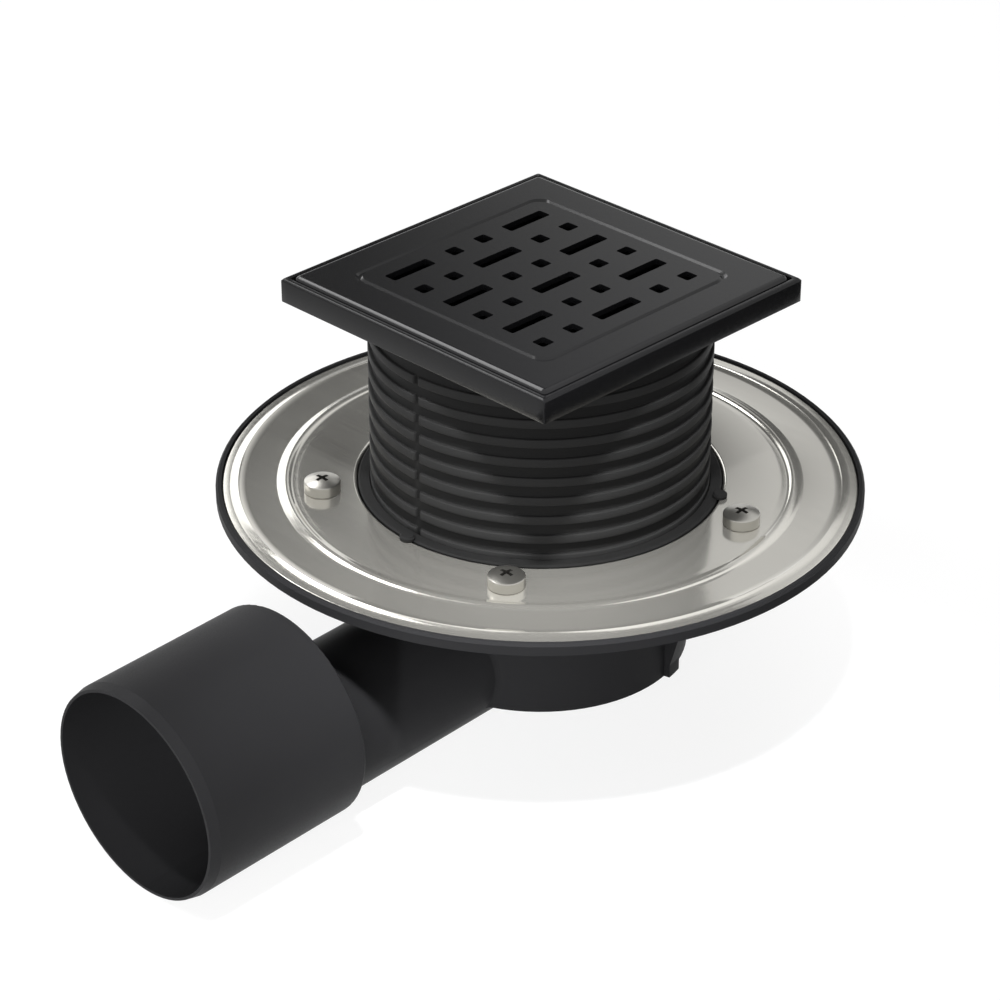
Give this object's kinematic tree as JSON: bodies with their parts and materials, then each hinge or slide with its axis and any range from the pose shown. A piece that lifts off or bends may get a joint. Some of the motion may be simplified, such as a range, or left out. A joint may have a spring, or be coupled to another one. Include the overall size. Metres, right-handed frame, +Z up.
{
  "type": "shower drain",
  "caption": "Height-adjustable floor drain with a square slotted grate on a ribbed neck, a stainless clamp collar for a membrane, a lift-out water trap and a stepped side outlet.",
  "frame": {"origin": "on the upright axis of the neck and bowl, level with the top of the flange's rim, where the membrane is clamped", "axes": "+Z up out of the drain, -Y the way the outlet leaves"},
  "size_m": [0.221, 0.2935, 0.1558],
  "materials": {
    "body_plastic": "moulded, matt black",
    "neck_plastic": "moulded, matt black",
    "trap_plastic": "moulded, satin dark grey",
    "seal_rubber": "moulded, soft matt",
    "stainless_steel": "pressed, polished",
    "coated_steel": "powder coated, matt black"
  },
  "bodies": {
    "drain": {"drain_body": "body_plastic", "clamp_collar": "stainless_steel", "collar_screws": "stainless_steel", "trap_funnel": "trap_plastic", "trap_cup": "trap_plastic", "trap_seal": "seal_rubber"},
    "seal": {"neck_seal": "seal_rubber"},
    "neck": {"neck": "neck_plastic", "grate": "coated_steel"}
  },
  "joints": [
    {"name": "neck_turn", "type": "hinge", "parent": "drain", "child": "seal", "pos_m": [0, 0, 0], "axis": [0, 0, 1], "continuous": true},
    {"name": "neck_height", "type": "slide", "parent": "seal", "child": "neck", "axis": [0, 0, 1], "range_m": [-0.007, 0.006]}
  ]
}
